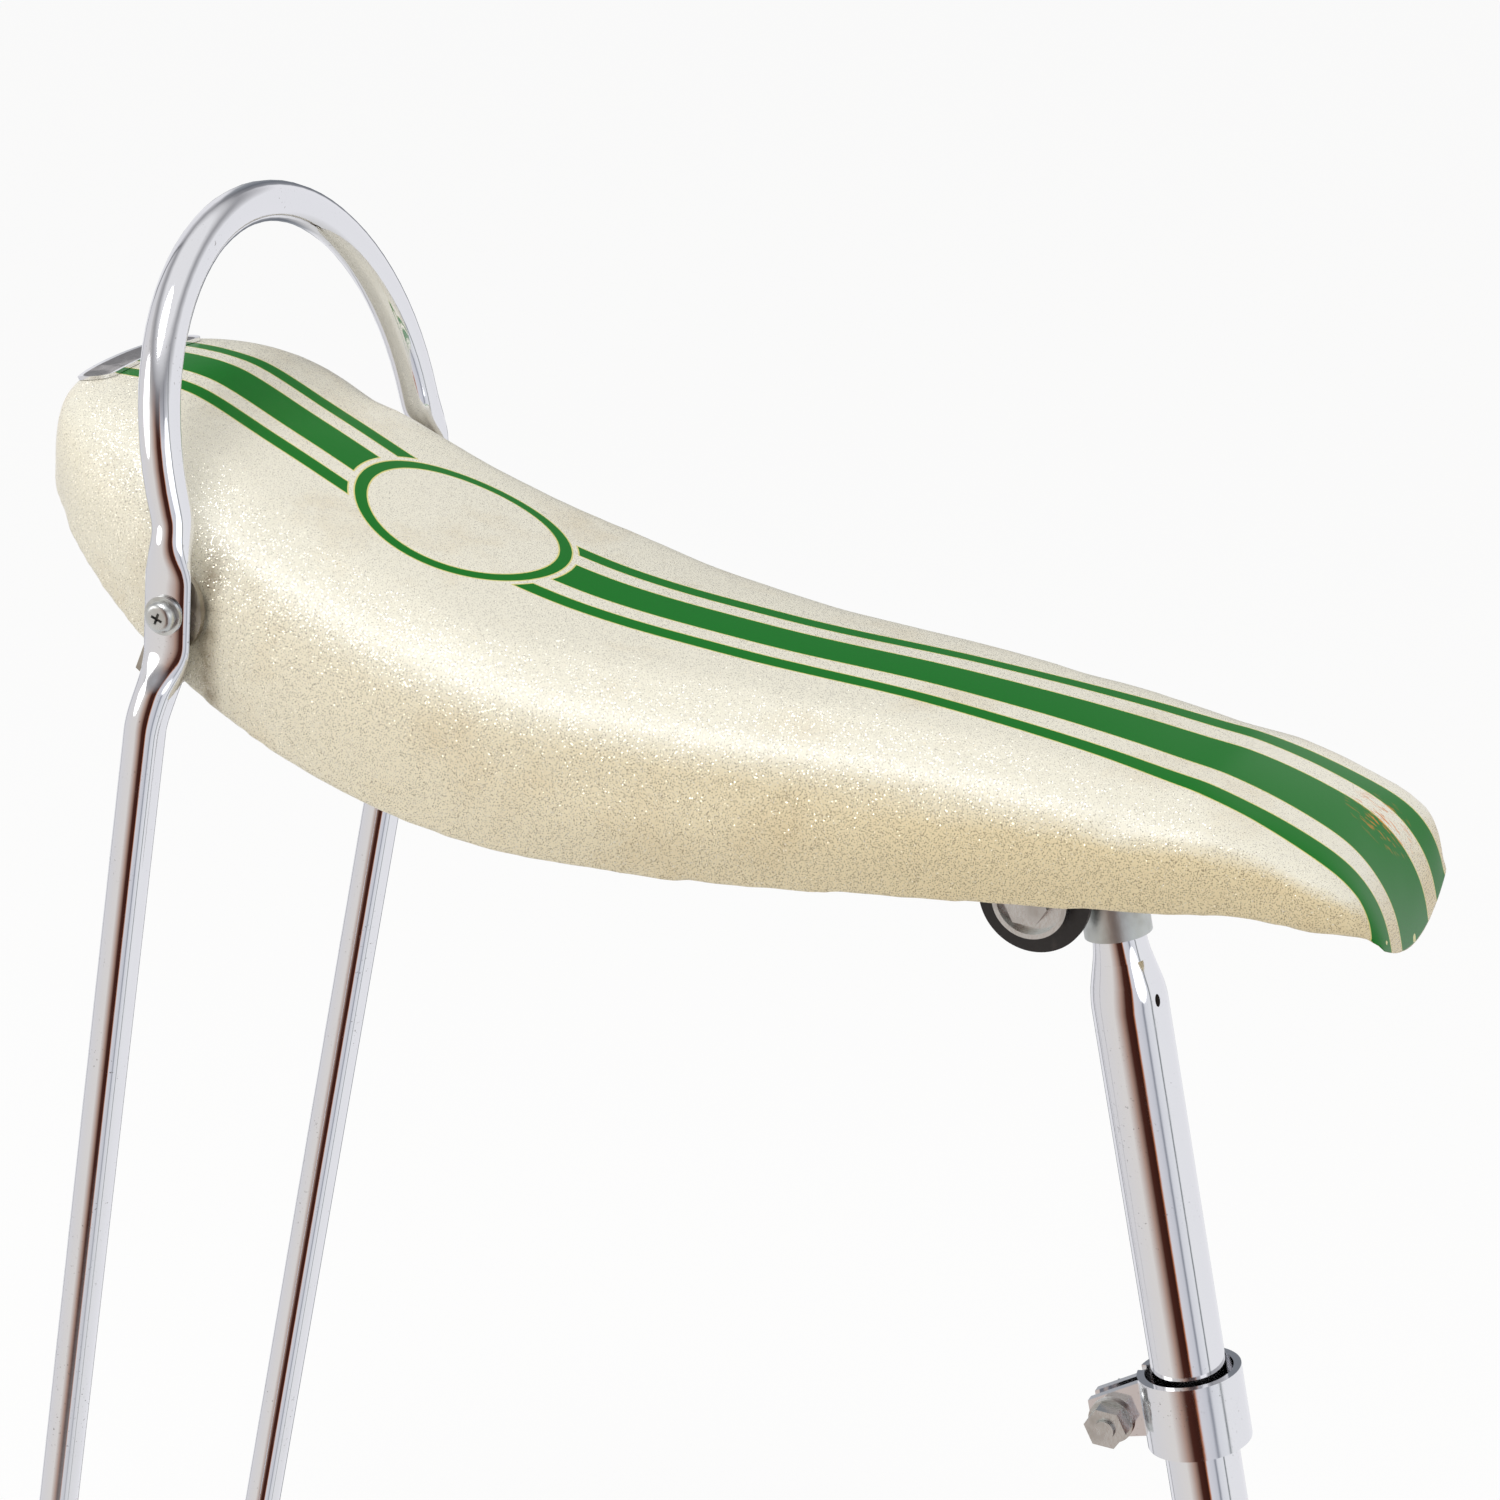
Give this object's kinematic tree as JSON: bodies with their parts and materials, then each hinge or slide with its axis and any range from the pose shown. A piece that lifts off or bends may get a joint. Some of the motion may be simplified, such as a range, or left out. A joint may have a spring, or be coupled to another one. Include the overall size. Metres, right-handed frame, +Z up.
{
  "type": "banana seat assembly with sissy bar and seat post",
  "caption": "Padded banana bicycle seat on a steel pan, with a hooped sissy bar at the rear and a clamped seat post at the front.",
  "frame": {"origin": "on the seat post's axis, where the post enters the bicycle's seat tube", "axes": "+X forward to the seat's nose, +Y to the rider's left, +Z up as the bicycle stands; the post leans back 14 degrees"},
  "size_m": [0.4877, 0.208, 0.6681],
  "materials": {
    "vinyl": "cream glitter vinyl over foam, with green stripes",
    "pan_steel": "pressed steel sheet, painted silver grey",
    "black_steel": "black painted steel",
    "zinc": "zinc plated steel",
    "chrome": "chrome plated steel, lightly pitted"
  },
  "bodies": {
    "post": {"seat_post": "chrome", "clamp_stem": "zinc", "post_collar": "chrome", "collar_bolt": "zinc", "collar_washer": "zinc", "collar_nut": "zinc"},
    "seat": {"seat_cover": "vinyl", "seat_pan": "pan_steel", "pan_bracket": "black_steel", "pan_ear_right": "zinc", "pan_ear_left": "zinc", "serrated_washer_right": "zinc", "serrated_washer_left": "zinc", "cupped_washer_right": "zinc", "cupped_washer_left": "zinc", "clamp_bolt": "zinc", "clamp_nut": "zinc", "bar_screw_right": "zinc", "bar_screw_left": "zinc", "bar_washer_right": "zinc", "bar_washer_left": "zinc", "bar_nut_right": "zinc", "bar_nut_left": "zinc"},
    "bar": {"sissy_bar": "chrome"}
  },
  "joints": [
    {"name": "seat_tilt", "type": "hinge", "parent": "post", "child": "seat", "pos_m": [-0.062, 0, 0.168], "axis": [0, 1, 0], "range_deg": [-8, 8]},
    {"name": "bar_swing", "type": "hinge", "parent": "seat", "child": "bar", "pos_m": [-0.342, 0, 0.235], "axis": [0, 1, 0], "range_deg": [-10, 10]}
  ]
}
